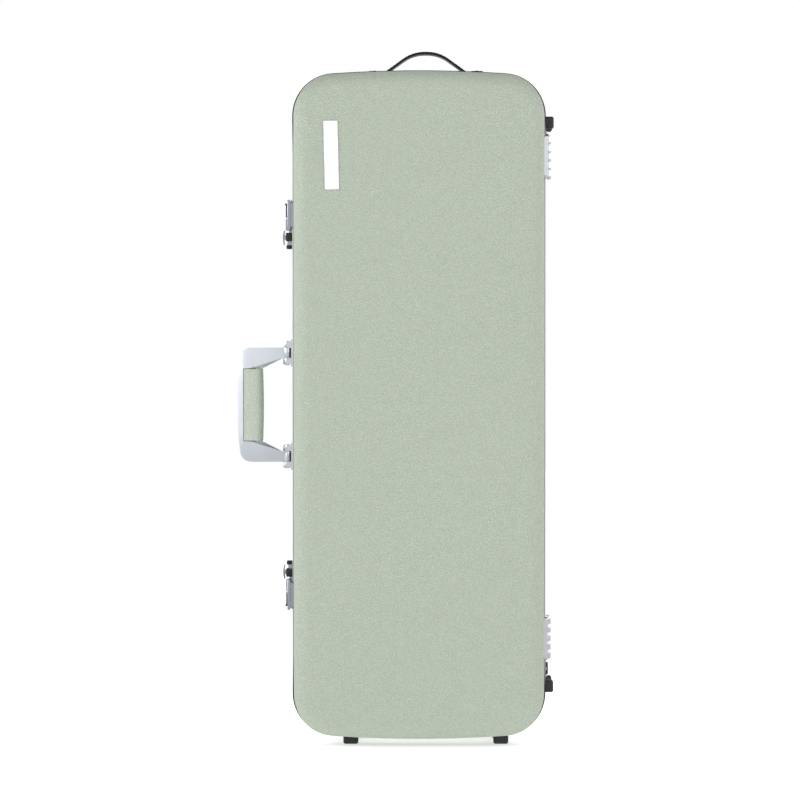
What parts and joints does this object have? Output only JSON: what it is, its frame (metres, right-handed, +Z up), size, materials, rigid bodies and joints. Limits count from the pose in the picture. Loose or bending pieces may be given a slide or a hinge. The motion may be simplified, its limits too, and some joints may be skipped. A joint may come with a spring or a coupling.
{
  "type": "viola case",
  "caption": "Oblong hard viola case with a hinged lid, side latches, cast carrying handle, end strap handle, rubber feet and padded interior.",
  "frame": {"origin": "on the floor under the end feet, at the middle of the object's overall width and depth", "axes": "+Z up along the case's long axis, -Y out of the lid's face, +X towards the hinge side"},
  "size_m": [0.37, 0.14, 0.8132],
  "materials": {
    "shell_cover": "grained matt leatherette",
    "rim_channel": "dark anodised",
    "seal_rubber": "matt",
    "foot_rubber": "matt moulded",
    "cast_handle": "satin cast",
    "grip_leather": "grained leatherette",
    "bracket_metal": "satin grey",
    "hinge_chrome": "polished",
    "steel_pin": "bright",
    "latch_steel": "satin grey",
    "thumb_chrome": "polished",
    "thumb_black": "black",
    "strap_leather": "black",
    "keeper_metal": "satin black",
    "holder_black": "black",
    "ring_chrome": "polished",
    "cradle_plush": "short plush over foam",
    "lining_plush": "short plush",
    "neck_ribbon": "black webbing",
    "spinner_black": "black"
  },
  "bodies": {
    "case_back": {"back_channel": "rim_channel", "back_shell": "shell_cover", "cradle": "cradle_plush", "end_foot_front_left": "foot_rubber", "end_foot_front_right": "foot_rubber", "end_foot_rear_left": "foot_rubber", "end_foot_rear_right": "foot_rubber", "handle_bracket_lower": "bracket_metal", "handle_bracket_upper": "bracket_metal", "handle_pin_lower": "steel_pin", "handle_pin_upper": "steel_pin", "hasp_pin_lower": "steel_pin", "hasp_pin_upper": "steel_pin", "hinge_back_leaf_lower": "hinge_chrome", "hinge_back_leaf_upper": "hinge_chrome", "hinge_pin_lower": "steel_pin", "hinge_pin_upper": "steel_pin", "latch_plate_lower": "latch_steel", "latch_plate_upper": "latch_steel", "neck_rest": "cradle_plush", "neck_strap": "neck_ribbon", "rim_seal": "seal_rubber", "ring_holder_lower": "holder_black", "ring_holder_upper": "holder_black", "side_foot_front_lower": "foot_rubber", "side_foot_front_upper": "foot_rubber", "side_foot_rear_lower": "foot_rubber", "side_foot_rear_upper": "foot_rubber", "strap_handle": "strap_leather", "strap_keeper_left": "keeper_metal", "strap_keeper_right": "keeper_metal", "thumb_spring_lower": "steel_pin", "thumb_spring_upper": "steel_pin", "tray": "cradle_plush"},
    "lid": {"lid_shell": "shell_cover", "lid_channel": "rim_channel", "lid_lining": "lining_plush", "hinge_lid_leaf_upper": "hinge_chrome", "hinge_lid_leaf_lower": "hinge_chrome", "strike_upper": "latch_steel", "strike_lower": "latch_steel", "bow_rest_left": "lining_plush", "bow_rest_right": "lining_plush", "tip_pocket_left": "lining_plush", "tip_pocket_right": "lining_plush"},
    "handle": {"handle_frame": "cast_handle", "handle_grip": "grip_leather"},
    "hasp_upper": {"hasp_upper": "latch_steel"},
    "hasp_lower": {"hasp_lower": "latch_steel"},
    "thumb_upper": {"thumb_slide_upper": "thumb_black", "thumb_cap_upper": "thumb_chrome"},
    "thumb_lower": {"thumb_slide_lower": "thumb_black", "thumb_cap_lower": "thumb_chrome"},
    "ring_upper": {"strap_ring_upper": "ring_chrome"},
    "ring_lower": {"strap_ring_lower": "ring_chrome"},
    "spinner_left": {"bow_spinner_left": "spinner_black"},
    "spinner_right": {"bow_spinner_right": "spinner_black"}
  },
  "joints": [
    {"name": "lid_hinge", "type": "hinge", "parent": "case_back", "child": "lid", "pos_m": [0.17895, -0.015, 0.3975], "axis": [0, 0, 1], "range_deg": [0, 100]},
    {"name": "handle_swing", "type": "hinge", "parent": "case_back", "child": "handle", "pos_m": [-0.12725, 0.005, 0.3975], "axis": [0, 0, -1], "range_deg": [0, 80]},
    {"name": "hasp_upper_hinge", "type": "hinge", "parent": "case_back", "child": "hasp_upper", "pos_m": [-0.12475, 0.003, 0.619], "axis": [0, 0, -1], "range_deg": [0, 95]},
    {"name": "hasp_lower_hinge", "type": "hinge", "parent": "case_back", "child": "hasp_lower", "pos_m": [-0.12475, 0.003, 0.176], "axis": [0, 0, -1], "range_deg": [0, 95]},
    {"name": "thumb_upper_slide", "type": "slide", "parent": "case_back", "child": "thumb_upper", "axis": [0, 0, -1], "range_m": [0, 0.0045], "stiffness_N_per_m": 400, "deforming": ["thumb_spring_upper"]},
    {"name": "thumb_lower_slide", "type": "slide", "parent": "case_back", "child": "thumb_lower", "axis": [0, 0, 1], "range_m": [0, 0.0045], "stiffness_N_per_m": 400, "deforming": ["thumb_spring_lower"]},
    {"name": "ring_upper_swing", "type": "hinge", "parent": "case_back", "child": "ring_upper", "pos_m": [0.17805, 0.023, 0.7095], "axis": [0, 0, -1], "range_deg": [0, 150]},
    {"name": "ring_lower_swing", "type": "hinge", "parent": "case_back", "child": "ring_lower", "pos_m": [0.17805, 0.023, 0.0855], "axis": [0, 0, -1], "range_deg": [0, 150]},
    {"name": "spinner_left_turn", "type": "hinge", "parent": "lid", "child": "spinner_left", "pos_m": [-0.06435, -0.0484, 0.1455], "axis": [0, 1, 0], "range_deg": [0, 90]},
    {"name": "spinner_right_turn", "type": "hinge", "parent": "lid", "child": "spinner_right", "pos_m": [0.11965, -0.0484, 0.1455], "axis": [0, -1, 0], "range_deg": [0, 90]}
  ]
}
